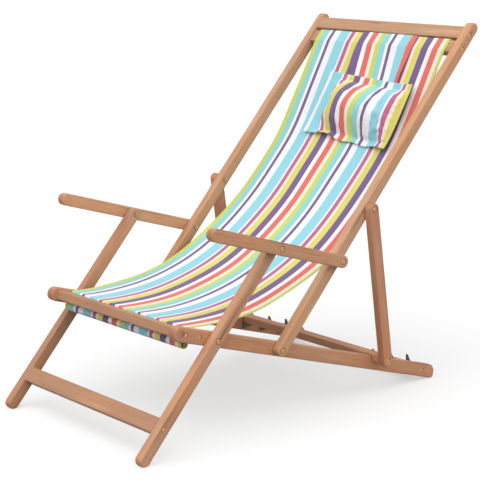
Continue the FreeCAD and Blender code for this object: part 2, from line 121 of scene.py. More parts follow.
class ChairClothSettings(bpy.types.PropertyGroup):
    """Sizes and colours of the sling, the pillow and its panel."""

    fabric: length_prop("Fabric", "Thickness of the canvas", 0.0015)
    clearance: length_prop("Clearance", "Space between the canvas and what it touches", 0.0003)
    side_gap: length_prop("Side gap", "From the edge of the sling to the rail beside it", 0.003)
    flare: length_prop("Flare", "How much further each edge reaches above the rails", 0.005)
    sag: length_prop("Sag", "Depth of the sling below the line between its bars", 0.163)
    skew: share_prop("Skew", "How far the deepest place lies towards the seat", 0.45)
    pull: length_prop("Pull", "Extra depth just below the pillow", 0.009)
    slot_bend: length_prop("Slot bend", "Radius of the canvas where it turns into a slot", 0.003)
    seat_rise: length_prop("Seat rise", "How far the canvas stands up out of the seat slot", 0.0028)
    seat_slot: length_prop("Seat slot", "From the leg pivot back to the slot, along the rail", -0.0545)
    head_slot: length_prop("Head slot", "From the stile pivot to the slot, along the stile", 0.897)
    seat_bar_thickness: length_prop("Seat bar", "Thickness of the bars across the rails", 0.022)
    bar_thickness: length_prop("Head bar", "Thickness of the bars across the stiles", 0.020)
    bar_width: length_prop("Bar width", "Width of the bars beside a slot", 0.036)
    bar_edge: length_prop("Bar edge", "Radius of the bars' long edges", 0.003)
    slot: length_prop("Slot", "Width of the slot between two bars", 0.005)
    stile_width: length_prop("Stile width", "Width of the stiles in the side view", 0.028)
    head_recess: length_prop("Head recess", "From the stiles' front edges to the head bar", 0.006)
    dowel: length_prop("Dowel", "Radius of the dowels in the hems", 0.009)
    hem_throat: length_prop("Hem throat", "From a dowel's middle to where its hem closes", 0.014)
    pillow_width: length_prop("Pillow width", "Across the chair, with its flanges", 0.316)
    pillow_length: length_prop("Pillow length", "Along the sling, with its flanges", 0.178)
    pillow_flange: length_prop("Pillow flange", "Width of the flat edge above and below the seam", 0.019)
    pillow_ear: length_prop("Pillow ear", "Width of the flat edge at the far side", 0.046)
    pillow_welt: length_prop("Pillow welt", "Width of the flat edge at the near side", 0.006)
    pillow_crown: length_prop("Pillow crown", "Height of the filling before it swells", 0.025)
    pillow_drop: length_prop("Pillow drop", "From the head bar down to the pillow", 0.095)
    pillow_shift: length_prop("Pillow shift", "From the middle of the chair to that of the pillow", 0.030)
    pillow_pattern: length_prop("Pillow pattern", "From the pillow's middle to that of its stripes", 0.008)
    pillow_stand: length_prop("Pillow stand", "How far the near edge stands off the sling", 0.014)
    pillow_turn: bpy.props.FloatProperty(name="Pillow turn", description="How far the pillow hangs askew",
                                         default=math.radians(-3.4), subtype="ANGLE")
    panel_width: length_prop("Panel width", "Width of the panel that the pillow hangs from", 0.1935)
    panel_shift: length_prop("Panel shift", "From the middle of the chair to that of the panel", 0.02675)
    panel_hem: length_prop("Panel hem", "Width of the turned near edge of the panel", 0.0188)
    panel_lift: length_prop("Panel lift", "How far the edges of the panel stand off the sling", 0.0045)
    panel_draw: length_prop("Panel draw", "How far the pillow draws the foot of the panel aside", 0.017)
    thread_pitch: length_prop("Thread pitch", "From one yarn of the canvas to the next", 0.0011)
    stripe_phase: length_prop("Stripe phase", "From the middle of the chair to the first repeat", 0.002)
    side_hem: length_prop("Side hem", "From the edges of the sling to the seams of its side hems", 0.011)
    edge_draw: length_prop("Edge draw", "How far the sling's stripes are drawn in at its near edge", 0.0045)
    ragged: length_prop("Ragged edge", "How far the edges of the stripes wander", 0.0012)
    stitch_pitch: length_prop("Stitch pitch", "From one stitch of a seam to the next", 0.0042)
    stitch_share: share_prop("Stitch share", "How much of a seam shows its thread", 0.68)
    stitch_half: length_prop("Stitch half", "Half the thickness of a seam's thread", 0.0005)
    stitch_shade: share_prop("Stitch shade", "How strongly the thread's colour shows", 0.22)
    lime: colour_prop("Lime", "Lime stripes", srgb(204, 216, 110))
    turquoise: colour_prop("Turquoise", "Turquoise stripes", srgb(147, 213, 211))
    sky: colour_prop("Sky", "Wide pale blue stripes", srgb(150, 214, 228))
    plum: colour_prop("Plum", "Plum stripes", srgb(122, 97, 141))
    magenta: colour_prop("Magenta", "Magenta stripes", srgb(190, 106, 151))
    yellow: colour_prop("Yellow", "Yellow stripes", srgb(224, 216, 114))
    red: colour_prop("Red", "Red stripes", srgb(227, 115, 105))
    white: colour_prop("White", "White stripes", srgb(244, 243, 247))
    cream: colour_prop("Cream", "Cream stripes", srgb(249, 233, 213))


class ChairFrameSettings(bpy.types.PropertyGroup):
    """Sizes and colours of the wood and the fittings."""

    wood_light: colour_prop("Light wood", "Palest streaks of the boards", srgb(210, 166, 134))
    wood_mid: colour_prop("Wood", "Main tone of the boards", srgb(192, 143, 111))
    wood_dark: colour_prop("Dark wood", "Darkest streaks and knots of the boards", srgb(144, 94, 68))
    end_grain: colour_prop("End grain", "Cut ends of the boards", srgb(160, 106, 77))
    bolt_brass: colour_prop("Bolts", "Brass of the pivot bolts", srgb(220, 180, 140))
    screw_brass: colour_prop("Screws", "Pale brass of the wood screws", srgb(218, 182, 142))
    nut_metal: colour_prop("Nuts", "Cap nuts on the inner side of the boards", srgb(208, 184, 150))
    hook_steel: colour_prop("Hook steel", "The dark hooks on the rails", srgb(104, 92, 84))
    hook_pitch: length_prop("Hook pitch", "From one hook to the next, along a rail", 0.063)
    hook_edge: length_prop("Hook edge", "Radius of the hooks' edges", 0.0008)
    head_rise: length_prop("Bolt head rise", "Height of a pivot bolt's head above its board", 0.0018)
    head_radius: length_prop("Bolt head", "Radius of a pivot bolt's head", 0.0062)
    shank_radius: length_prop("Bolt shank", "Radius of a pivot bolt's shank", 0.003)
    socket_radius: length_prop("Bolt socket", "Radius of the six-sided socket in a head", 0.0024)
    screw_radius: length_prop("Screw head", "Radius of a wood screw's head", 0.0039)
    screw_rise: length_prop("Screw head rise", "Height of a wood screw's head", 0.0012)
    screw_slit: length_prop("Screw slit", "Width of the cross in a wood screw's head", 0.0009)
    pit_depth: length_prop("Pit depth", "Depth of the round pits that the heads sit in", 0.0020)
    pit_gap: length_prop("Pit gap", "Space round a head in its pit", 0.0014)
    board_edge: length_prop("Board edge", "Radius of the boards' long edges", 0.0032)
    board_width: length_prop("Board width", "Width of the stiles, the legs and the prop", 0.028)
    arm_width: length_prop("Armrest width", "Width of the armrests in the side view", 0.030)
    rail_width: length_prop("Rail width", "Width of the base rails in the side view", 0.034)
    rail_front: length_prop("Rail front", "From the leg pivot to the front tip of a rail", 0.108)
    rail_rear: length_prop("Rail rear", "From the leg pivot to the rear end of a rail", 0.752)
    rail_top_round: length_prop("Rail top", "Radius of a rail's upper rear corner", 0.020)
    rail_foot_round: length_prop("Rail foot", "Radius of a rail's lower rear corner", 0.008)
    stile_reach: length_prop("Stile reach", "From the stile pivot to the top of a stile", 0.952)
    leg_reach: length_prop("Leg reach", "From the leg pivot to the foot of a leg", 0.321)
    arm_reach: length_prop("Armrest reach", "From the leg to the front tip of an armrest", 0.210)
    prop_reach: length_prop("Prop reach", "From the prop's pivot to its lower tip", 0.399)


class ChairStageSettings(bpy.types.PropertyGroup):
    """The floor, the light and the camera."""

    floor_size: length_prop("Floor size", "Width of the floor", 80.0)
    floor_colour: colour_prop("Floor", "Colour of the floor", (0.96, 0.96, 0.96))
    floor_bounce: colour_prop("Floor bounce", "Colour of the light that the floor throws back",
                              (0.13, 0.13, 0.13))
    floor_white: share_prop("Floor white", "How much of the floor's shadow is seen as plain white", 0.5)
    sky_strength: share_prop("Sky", "Strength of the even light from all round", 0.72)
    key_strength: share_prop("Key", "Strength of the main light", 1.20)
    key_softness: bpy.props.FloatProperty(name="Softness", description="Width of both lights",
                                          default=math.radians(75), subtype="ANGLE")
    key_turn: bpy.props.FloatVectorProperty(
        name="Key turn", description="Rotation of the main light", subtype="EULER",
        default=(math.radians(33), 0.0, 0.0))
    fill_strength: share_prop("Fill", "Strength of the second light", 1.15)
    fill_turn: bpy.props.FloatVectorProperty(
        name="Fill turn", description="Rotation of the second light", subtype="EULER",
        default=(math.radians(15), math.radians(62), 0.0))
    lens: bpy.props.FloatProperty(name="Lens", description="Focal length on a 36 mm sensor",
                                  default=114.4, subtype="DISTANCE_CAMERA")
    camera_place: bpy.props.FloatVectorProperty(name="Camera", description="Place of the camera",
                                                default=(2.7937, -2.3315, 1.1772), subtype="TRANSLATION")
    camera_turn: bpy.props.FloatVectorProperty(
        name="Camera turn", description="Rotation of the camera", subtype="EULER",
        default=(math.radians(77.615), math.radians(0.912), math.radians(50.10)))


def unit(step):
    """A step of the side view at a length of 1."""
    return step / abs(step)


def joint_place(name):
    """A joint's place in the side view."""
    places = {joint["name"]: joint["pos_m"] for joint in frame["joints"]}
    return complex(places[name][1], places[name][2])


def bar_middle(bar):
    """The middle of a node's box in the side view."""
    low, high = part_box(bar)
    return complex((low.y + high.y) / 2, (low.z + high.z) / 2)


LEG_PIVOT = joint_place("legs_fold")
STILE_PIVOT = joint_place("back_fold")
RAIL_AXIS = unit(STILE_PIVOT - LEG_PIVOT)
RAIL_UP = RAIL_AXIS * 1j
STILE_AXIS = unit(joint_place("arm_left_fold") - STILE_PIVOT)
PROP_AXIS = unit(bar_middle("prop_crossbar") - joint_place("prop_fold"))


def arc_points(centre, start, turn, count):
    """Points round a centre, from one arm of the arc through a turn in radians."""
    return [centre + start * cmath.rect(1, turn * number / count) for number in range(count + 1)]


def turn_between(first, second):
    """The smaller turn in radians from one direction to another."""
    return cmath.phase(second / first)


class HungCloth:
    """The line of the sling in the side view, from its seat hem to its head hem."""

    spans = 150
    bend_steps = 6
    hem_steps = 28

    # Where the extra depth below the pillow is most and how far it spreads, as shares of the hanging part.
    pull_place = 0.755
    pull_spread = 0.09

    def __init__(self, cloth):
        self.cloth = cloth
        self.lift = cloth.clearance + cloth.fabric / 2
        self.edge_bend = cloth.bar_edge + self.lift
        self.front = STILE_AXIS * 1j
        half_bar = cloth.bar_thickness / 2
        self.seat_slot = LEG_PIVOT + RAIL_AXIS * cloth.seat_slot
        self.seat_bend = (self.seat_slot + RAIL_AXIS * cloth.slot_bend
                          + RAIL_UP * (cloth.seat_bar_thickness / 2 + self.lift - cloth.slot_bend
                                       + cloth.seat_rise))
        bar = (STILE_PIVOT + STILE_AXIS * (cloth.head_slot - (cloth.slot + cloth.bar_width) / 2)
               + self.front * (cloth.stile_width / 2 - cloth.head_recess - half_bar))
        self.head_slot = STILE_PIVOT + STILE_AXIS * (cloth.head_slot - (cloth.fabric + cloth.clearance) / 2)
        self.head_edge = (bar - STILE_AXIS * (cloth.bar_width / 2 - cloth.bar_edge)
                          + self.front * (half_bar - cloth.bar_edge))
        face = ((bar - self.head_slot) / self.front).real + half_bar
        self.head_bend = (self.head_slot - STILE_AXIS * cloth.slot_bend
                          + self.front * (face + self.lift - cloth.slot_bend))
        self.hem_radius = cloth.dowel + self.lift
        reach = self.hem_radius + self.lift
        self.seat_hem = self.seat_slot - RAIL_UP * (cloth.seat_bar_thickness / 2 + reach)
        self.head_hem = self.head_slot + self.front * (face - cloth.bar_thickness - reach)
        self.hang()

    def hang(self):
        """Work out the hanging part as points, with the run of the cloth up to each."""
        cloth = self.cloth
        chord = self.head_edge - self.seat_bend
        below = unit(chord) * -1j
        self.leave = unit(chord + below * 4 * cloth.sag * (1 + cloth.skew / 2))
        self.arrive = unit(chord - below * 4 * cloth.sag * (1 - cloth.skew / 2))
        start = self.seat_bend + self.leave * 1j * cloth.slot_bend
        end = self.head_edge + self.arrive * 1j * self.edge_bend

        def place(share):
            depth = cloth.sag * 4 * share * (1 - share) * (1 - cloth.skew * (share - 0.5))
            depth += cloth.pull * math.exp(-((share - self.pull_place) / self.pull_spread) ** 2)
            return start + (end - start) * share + below * depth

        self.points = [place(number / self.spans) for number in range(self.spans + 1)]
        self.runs = run_lengths(self.points)
        self.run = self.runs[-1]

    def at(self, run, lift=0.0):
        """A point of the hanging part by its run from the seat bar, lifted towards the sitter."""
        number = 0
        while number < self.spans - 1 and self.runs[number + 1] < run:
            number += 1
        step = self.points[number + 1] - self.points[number]
        return self.points[number] + unit(step) * (run - self.runs[number]) + unit(step) * 1j * lift

    def hem(self, middle, slot_side):
        """The loop of cloth round a dowel, closed where it enters the slot."""
        throat = self.cloth.hem_throat
        opening = math.acos(self.hem_radius / throat)
        closing = middle + slot_side * throat
        apart = slot_side * 1j * self.cloth.fabric / 2
        first = slot_side * cmath.rect(self.hem_radius, opening)
        loop = arc_points(middle, first, 2 * math.pi - 2 * opening, self.hem_steps)
        return [closing + apart] + loop + [closing - apart]

    def over_head_bar(self, lift):
        """The cloth round the head bar's lower edge, up its face and into the slot, lifted off it."""
        edge = self.edge_bend + lift
        slot = self.cloth.slot_bend + lift
        lower = arc_points(self.head_edge, self.arrive * 1j * edge,
                           turn_between(self.arrive, STILE_AXIS), self.bend_steps)
        upper = arc_points(self.head_bend, self.front * slot, -math.pi / 2, self.bend_steps)
        return lower + upper

    def whole(self):
        """The whole line, hem to hem."""
        seat = arc_points(self.seat_bend, -RAIL_AXIS * self.cloth.slot_bend,
                          turn_between(RAIL_UP, self.leave), self.bend_steps)
        head = self.hem(self.head_hem, self.front)
        return (self.hem(self.seat_hem, RAIL_UP) + seat + self.points[1:-1]
                + self.over_head_bar(0.0) + head[::-1])


def deselect_all():
    """Leave nothing selected, so that an operator acts on new pieces only."""
    if bpy.context.object and bpy.context.object.mode != "OBJECT":
        bpy.ops.object.mode_set(mode="OBJECT")
    bpy.ops.object.select_all(action="DESELECT")


def make_active(piece):
    """Select one piece alone and make it the active one."""
    deselect_all()
    piece.select_set(True)
    bpy.context.view_layer.objects.active = piece


def edit_all(piece):
    """Go into edit mode with all of a piece selected."""
    make_active(piece)
    bpy.ops.object.mode_set(mode="EDIT")
    bpy.ops.mesh.select_all(action="SELECT")


def primitive(kind, name, **settings):
    """A new primitive as the active object, with its mesh named like it."""
    deselect_all()
    getattr(bpy.ops.mesh, "primitive_" + kind + "_add")(**settings)
    piece = bpy.context.object
    piece.name = name
    piece.data.name = name
    return piece


def set_all(target, settings):
    """Set values of a modifier, a node or other settings by their names."""
    for key, value in settings.items():
        setattr(target, key, value)


def apply_modifier(piece, kind, name, **settings):
    """Add a modifier with its settings to a piece and apply it."""
    make_active(piece)
    set_all(piece.modifiers.new(name, kind), settings)
    bpy.ops.object.modifier_apply(modifier=name)


def smooth(piece, degrees):
    """Shade a piece smooth where its faces meet at less than an angle."""
    make_active(piece)
    bpy.ops.object.shade_smooth_by_angle(angle=math.radians(degrees))


def laid_cloth(name, columns, rows, thickness, place, pattern):
    """Canvas made from a flat grid with each point at its place, and where it lies on the flat cut as UV.

    place and pattern take the shares across and along. pattern gives metres across and along the cut.
    """
    piece = primitive("grid", name, x_subdivisions=columns, y_subdivisions=rows, size=1.0)
    mesh = piece.data
    shares = [(point.co.x + 0.5, point.co.y + 0.5) for point in mesh.vertices]
    layer = mesh.uv_layers[0]
    layer.name = CLOTH_UV
    for loop in mesh.loops:
        across, along = pattern(*shares[loop.vertex_index])
        layer.data[loop.index].uv = (0.5 + across, along / 2)
    for point, share in zip(mesh.vertices, shares):
        point.co = place(*share)
    mesh.update()
    apply_modifier(piece, "SOLIDIFY", "canvas", thickness=thickness, offset=0.0)
    return piece


def smooth_step(share):
    """A share from 0 to 1, eased at both ends and held beyond them."""
    held = min(1.0, max(0.0, share))
    return held * held * (3 - 2 * held)


def run_lengths(points):
    """The run of a line up to each of its points."""
    runs = [0.0]
    for first, second in zip(points, points[1:]):
        runs.append(runs[-1] + abs(second - first))
    return runs


def line_normal(points, number):
    """The direction to the left of a line at one of its points."""
    first = points[max(number - 1, 0)]
    second = points[min(number + 1, len(points) - 1)]
    return unit(second - first) * 1j


def feed(tree, made, inputs):
    """Link or set inputs of a node."""
    for key, value in inputs.items():
        if isinstance(value, bpy.types.NodeSocket):
            tree.links.new(value, made.inputs[key])
        else:
            made.inputs[key].default_value = value


def node(tree, kind, inputs=None, **settings):
    """A new node with its settings, and with its inputs linked or set."""
    made = tree.nodes.new(kind)
    set_all(made, settings)
    feed(tree, made, inputs or {})
    return made


def maths(tree, operation, first, second=0.0, third=0.0):
    """The result of a sum of up to three values."""
    return node(tree, "ShaderNodeMath", {0: first, 1: second, 2: third}, operation=operation).outputs[0]


def mixed(tree, share, first, second, blend="MIX"):
    """Two colours mixed by a share."""
    first, second = [(*value, 1.0) if isinstance(value, tuple) else value for value in (first, second)]
    return node(tree, "ShaderNodeMix", {"Factor": share, 6: first, 7: second}, data_type="RGBA",
                blend_type=blend).outputs[2]


def ramp(tree, value, stops, interpolation="LINEAR"):
    """A colour by a value from 0 to 1, from pairs of place and colour, where a plain number is a grey."""
    made = node(tree, "ShaderNodeValToRGB", {0: value})
    band = made.color_ramp
    band.interpolation = interpolation
    while len(band.elements) < len(stops):
        band.elements.new(1.0)
    for element, (place, colour) in zip(band.elements, stops):
        element.position = place
        element.color = (*((colour,) * 3 if isinstance(colour, float) else colour), 1.0)
    return made.outputs[0]


def noise(tree, vector, scale=1.0, detail=2.0, roughness=0.5, distortion=0.0):
    """The value of a noise texture."""
    return node(tree, "ShaderNodeTexNoise", {"Vector": vector, "Scale": scale, "Detail": detail,
                "Roughness": roughness, "Distortion": distortion}).outputs[0]


def new_material(name):
    """A material with its tree and its main shader."""
    material = bpy.data.materials.new(name)
    material.use_nodes = True
    return material, material.node_tree, material.node_tree.nodes["Principled BSDF"]


def wear(material, piece):
    """Give a piece one material alone."""
    piece.data.materials.clear()
    piece.data.materials.append(material)


def stitches(tree, cloth, line, run, place, low, high):
    """1 on the thread of a seam at a place of one measure, between two places of the other, else 0."""
    offset = maths(tree, "ABSOLUTE", maths(tree, "SUBTRACT", line, place))
    beyond = maths(tree, "ABSOLUTE", maths(tree, "SUBTRACT", run, (low + high) / 2))
    step = maths(tree, "FRACT", maths(tree, "DIVIDE", run, cloth.stitch_pitch))
    thread = maths(tree, "MULTIPLY", maths(tree, "LESS_THAN", offset, cloth.stitch_half),
                   maths(tree, "LESS_THAN", step, cloth.stitch_share))
    return maths(tree, "MULTIPLY", thread, maths(tree, "LESS_THAN", beyond, (high - low) / 2))


def canvas_material(name, cloth, long_seams=(), cross_seams=()):
    """Striped canvas. A seam is its place on the flat cut, and the two places that it runs between."""
    material, tree, shader = new_material(name)
    flat = node(tree, "ShaderNodeUVMap", uv_map=CLOTH_UV).outputs[0]
    split = node(tree, "ShaderNodeSeparateXYZ", {0: flat})
    across = maths(tree, "SUBTRACT", split.outputs[0], 0.5)
    along = maths(tree, "MULTIPLY", split.outputs[1], 2.0)
    metres = node(tree, "ShaderNodeCombineXYZ", {0: across, 1: along}).outputs[0]
    wander = maths(tree, "SUBTRACT", noise(tree, metres, scale=900.0), 0.5)
    place = maths(tree, "MULTIPLY_ADD", wander, cloth.ragged, across)
    repeats = maths(tree, "DIVIDE", maths(tree, "ADD", place, cloth.stripe_phase), STRIPE_REPEAT)
    stops = []
    done = 0.0
    for colour, width in STRIPES:
        stops.append((done / STRIPE_REPEAT, getattr(cloth, colour)))
        done += width
    colour = ramp(tree, maths(tree, "FRACT", repeats), stops, "CONSTANT")

    slubs = node(tree, "ShaderNodeVectorMath", {0: metres, 1: (420.0, 40.0, 1.0)},
                 operation="MULTIPLY").outputs[0]
    tone = ramp(tree, noise(tree, slubs, detail=3.0, roughness=0.6), [(0.25, 0.93), (0.75, 1.0)])
    colour = mixed(tree, 1.0, colour, tone, "MULTIPLY")

    pitch = 2 * math.pi / cloth.thread_pitch
    warp = maths(tree, "SINE", maths(tree, "MULTIPLY", across, pitch))
    weft = maths(tree, "SINE", maths(tree, "MULTIPLY", along, pitch))
    weave = maths(tree, "MULTIPLY", warp, weft)
    # Painted shade: the weave's hollows are darkened in step with its bump.
    painted_weave_shade = maths(tree, "MULTIPLY_ADD", weave, 0.02, 0.98)
    grey = node(tree, "ShaderNodeCombineColor", {0: painted_weave_shade, 1: painted_weave_shade, 2: painted_weave_shade}).outputs[0]
    colour = mixed(tree, 1.0, colour, grey, "MULTIPLY")
    height = maths(tree, "MULTIPLY", weave, 0.5)
    sewn = [stitches(tree, cloth, across, along, *seam) for seam in long_seams]
    sewn += [stitches(tree, cloth, along, across, *seam) for seam in cross_seams]
    for stitch in sewn:
        colour = mixed(tree, maths(tree, "MULTIPLY", stitch, cloth.stitch_shade), colour, tuple(cloth.cream))
        height = maths(tree, "ADD", height, stitch)
    bump = node(tree, "ShaderNodeBump", {"Strength": 0.35, "Distance": 0.0004, "Height": height})
    feed(tree, shader, {"Base Color": colour, "Normal": bump.outputs[0], "Roughness": 0.9,
                        "Sheen Weight": 0.12, "Sheen Roughness": 0.6, "Specular IOR Level": 0.25})
    return material


def wood_material(name, settings, along, square, third, tone=(1.0, 1.0)):
    """Oiled hardwood with its grain along one direction, square to two others; its tone paints light and
    shade on it.
    """
    # The tone is painted light and shade: paleness and redness that make a piece lighter or darker, warmer or
    # cooler.
    pale, redness = tone
    light, mid, dark, cut_end = [(red * pale * redness, green * pale, blue * pale) for red, green, blue in (
        settings.wood_light, settings.wood_mid, settings.wood_dark, settings.end_grain)]
    material, tree, shader = new_material(name)
    coordinates = node(tree, "ShaderNodeTexCoord").outputs

    def measured(coordinate, direction):
        return node(tree, "ShaderNodeVectorMath", {0: coordinates[coordinate], 1: direction},
                    operation="DOT_PRODUCT").outputs["Value"]

    parts = [measured("Object", direction) for direction in (along, square, third)]

    def stretched(along_scale, across_scale):
        scaled = [maths(tree, "MULTIPLY", part, scale)
                  for part, scale in zip(parts, (along_scale, across_scale, across_scale))]
        return node(tree, "ShaderNodeCombineXYZ", dict(enumerate(scaled))).outputs[0]

    drift = noise(tree, stretched(5.5, 22.0), detail=3.0, roughness=0.55)
    figure = noise(tree, stretched(2.2, 95.0), detail=4.0, roughness=0.6, distortion=0.9)
    fibres = noise(tree, stretched(16.0, 900.0), roughness=0.6)
    streaks = maths(tree, "ADD", maths(tree, "MULTIPLY", drift, 0.45), maths(tree, "MULTIPLY", figure, 0.55))
    colour = ramp(tree, streaks, [(0.28, dark), (0.43, mid), (0.53, mid), (0.68, light)])
    pores = ramp(tree, fibres, [(0.32, (0.80, 0.74, 0.70)), (0.50, 1.0)])
    colour = mixed(tree, 0.7, colour, pores, "MULTIPLY")
    cast = noise(tree, stretched(4.6, 13.0))
    casts = ramp(tree, cast, [(0.36, (1.0, 0.93, 0.83)), (0.64, (0.92, 0.95, 0.97))])
    colour = mixed(tree, 1.0, colour, casts, "MULTIPLY")

    cells = node(tree, "ShaderNodeTexVoronoi", {"Vector": stretched(3.1, 21.0), "Scale": 1.0,
                 "Randomness": 1.0}, feature="F1")
    spot = ramp(tree, cells.outputs["Distance"], [(0.02, 1.0), (0.16, 0.0)])
    rare = maths(tree, "GREATER_THAN", noise(tree, stretched(2.3, 5.1)), 0.56)
    knot = maths(tree, "MULTIPLY", maths(tree, "MULTIPLY", spot, rare), 0.75)
    colour = mixed(tree, knot, colour, dark)

    end_on = maths(tree, "ABSOLUTE", measured("Normal", along))
    ends = ramp(tree, end_on, [(0.55, 0.0), (0.95, 1.0)])
    colour = mixed(tree, maths(tree, "MULTIPLY", ends, 0.65), colour, cut_end)

    relief = maths(tree, "ADD", maths(tree, "MULTIPLY", fibres, 0.6), maths(tree, "MULTIPLY", figure, 0.4))
    bump = node(tree, "ShaderNodeBump", {"Strength": 0.18, "Distance": 0.0006, "Height": relief})
    sheen = ramp(tree, figure, [(0.3, 0.62), (0.7, 0.48)])
    feed(tree, shader, {"Base Color": colour, "Roughness": sheen, "Normal": bump.outputs[0],
                        "Specular IOR Level": 0.35})
    return material


def metal_material(name, colour, dull, metallic, roughness):
    """Metal with fine scratches and a dulled bloom."""
    material, tree, shader = new_material(name)
    where = node(tree, "ShaderNodeTexCoord").outputs["Object"]
    bloom = noise(tree, where, scale=160.0, detail=4.0, roughness=0.6)
    fine = noise(tree, where, scale=1400.0, roughness=0.6)
    shade = tuple(value * dull for value in colour)
    tinted = mixed(tree, bloom, tuple(colour), shade)
    span = maths(tree, "MULTIPLY_ADD", bloom, 0.22, roughness - 0.1)
    bump = node(tree, "ShaderNodeBump", {"Strength": 0.08, "Distance": 0.0002, "Height": fine})
    feed(tree, shader, {"Base Color": tinted, "Roughness": span, "Normal": bump.outputs[0],
                        "Metallic": metallic})
    return material


class CHAIR_OT_sling(bpy.types.Operator):
    """Hang the striped sling from its two bars, with a hem round each dowel"""

    bl_idname = "chair.sling"
    bl_label = "Sling"

    columns = 56

    # Where the edges start to reach further out, and over what run they do.
    flare_start = 0.10
    flare_run = 0.12

    # Two shares of the hanging run, which mark a part of it.
    bend_start = 0.03
    bend_end = 0.68

    # Heights of the waves in the slack canvas.
    slow_wave = 0.0011
    quick_wave = 0.0007
    edge_wave = 0.0024

    def execute(self, context):
        cloth = context.scene.chair_cloth
        hung = HungCloth(cloth)
        line = hung.whole()
        runs = run_lengths(line)
        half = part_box("base_rail_left")[0].x - cloth.side_gap
        last = len(line) - 1

        def place(across, along):
            number = round(along * last)
            side = 2 * across - 1
            rise = self.ripple(side, runs[number] / runs[-1])
            point = line[number] + line_normal(line, number) * rise
            reach = half + cloth.flare * smooth_step((runs[number] - self.flare_start) / self.flare_run)
            return side * reach, point.real, point.imag

        def pattern(across, along):
            side = 2 * across - 1
            return side * half + cloth.edge_draw * smooth_step(side), runs[round(along * last)]

        piece = laid_cloth("striped_sling", self.columns, last, cloth.fabric, place, pattern)
        smooth(piece, 50)
        seams = [(side * (half - cloth.side_hem) + cloth.edge_draw * max(side, 0), 0.0, runs[-1])
                 for side in (1, -1)]
        wear(canvas_material("sling_canvas", cloth, seams), piece)
        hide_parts("sling")
        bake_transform(piece)
        return {"FINISHED"}

    def ripple(self, across, along):
        """Small waves of slack canvas, which die out towards the bars."""
        free = max(0.0, math.sin(math.pi * min(1.0, max(0.0, (along - 0.12) / 0.76)))) ** 0.6
        edge = abs(across) ** 6
        slow = math.sin(5.1 * along * 2 * math.pi + 1.3 * across) * math.cos(2.4 * across + 0.7)
        quick = math.sin(13.0 * along + 7.0 * across) * math.sin(5.5 * across - 2.0)
        return free * (self.slow_wave * slow + self.quick_wave * quick
                       + self.edge_wave * edge * math.sin(21.0 * along + across))


